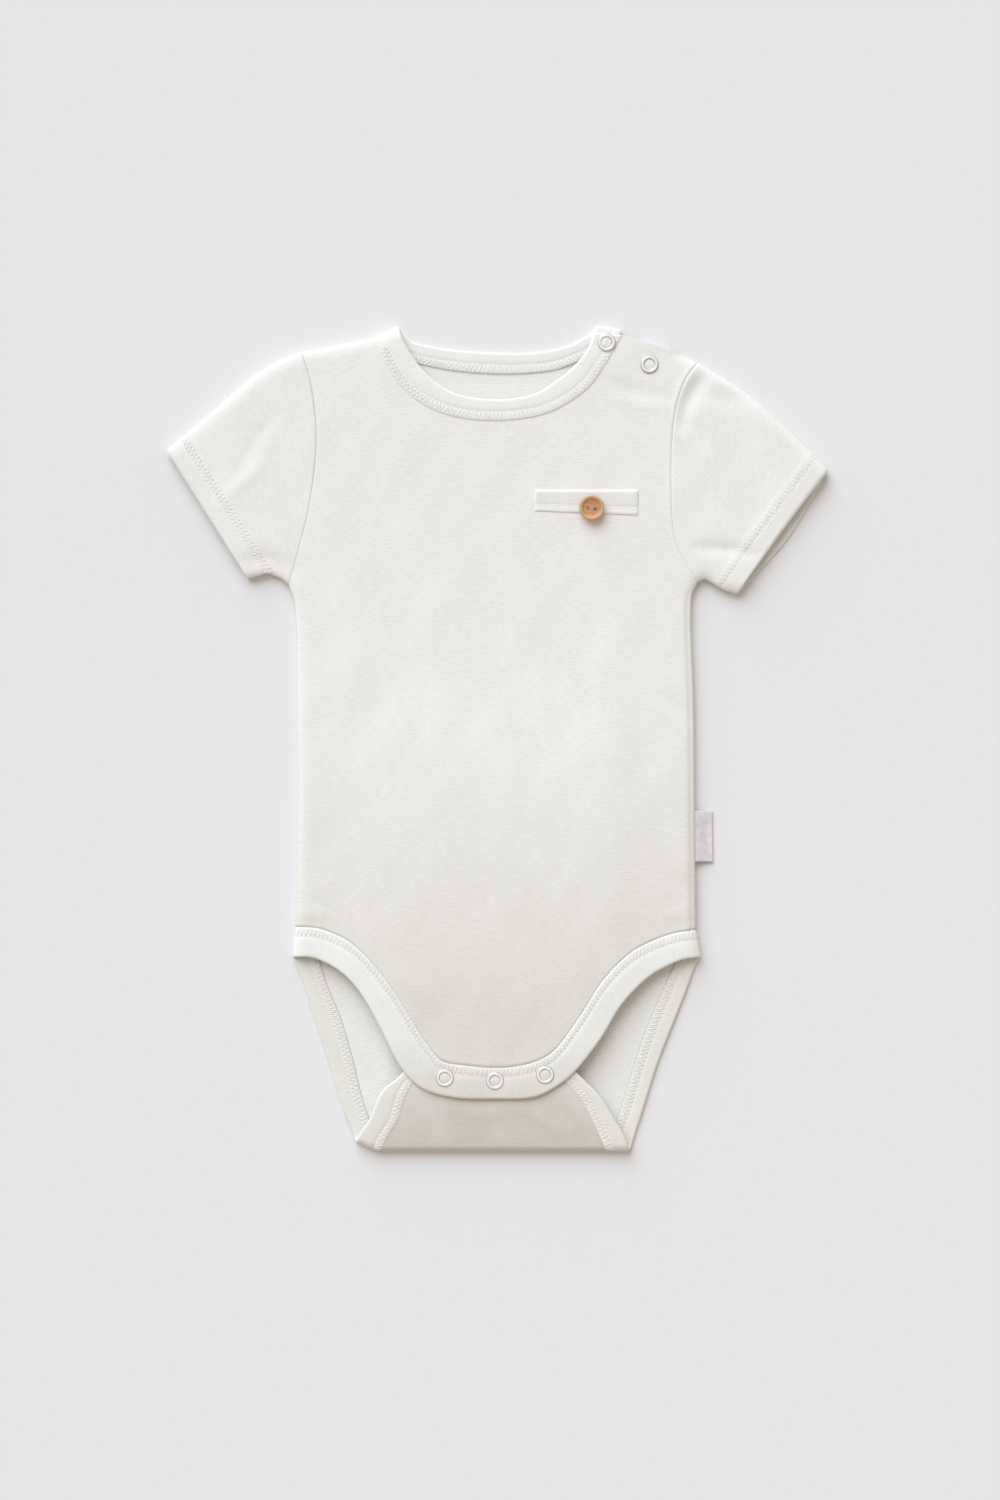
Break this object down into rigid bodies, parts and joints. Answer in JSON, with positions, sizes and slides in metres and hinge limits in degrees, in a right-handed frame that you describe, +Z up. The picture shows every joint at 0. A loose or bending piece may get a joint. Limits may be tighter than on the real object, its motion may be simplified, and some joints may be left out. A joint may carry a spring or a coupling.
{
  "type": "short-sleeved baby onesie, laid flat",
  "caption": "Short-sleeved baby bodysuit laid flat, with bound neck and legs, a snap shoulder, a snap crotch folded up under the front, and a buttoned pocket tab.",
  "frame": {"origin": "middle of the footprint, on the surface that the garment lies on", "axes": "+Y from the crotch to the shoulders, +X to the wearer's left, +Z up out of the surface, from the back to the front"},
  "size_m": [0.3447, 0.4297, 0.0115],
  "materials": {
    "cloth": "matt cotton interlock with a faint slub",
    "trim": "matt cotton binding with coverstitch",
    "snap": "white enamelled ring",
    "wood": "turned and lightly waxed",
    "label": "smooth woven ribbon"
  },
  "bodies": {
    "root": {"front_panel": "cloth", "back_panel": "cloth", "sleeve_right": "cloth", "sleeve_left": "cloth", "shoulder_underlap": "cloth", "pocket_tab": "cloth", "neck_binding": "trim", "leg_binding_front": "trim", "leg_binding_back": "trim", "button": "wood", "side_label": "label", "snap_ring_neck": "snap", "snap_ring_shoulder": "snap", "snap_ring_crotch_right": "snap", "snap_ring_crotch_middle": "snap", "snap_ring_crotch_left": "snap", "snap_socket_neck": "snap", "snap_socket_shoulder": "snap", "snap_socket_crotch_right": "snap", "snap_socket_crotch_middle": "snap", "snap_socket_crotch_left": "snap"}
  },
  "joints": []
}
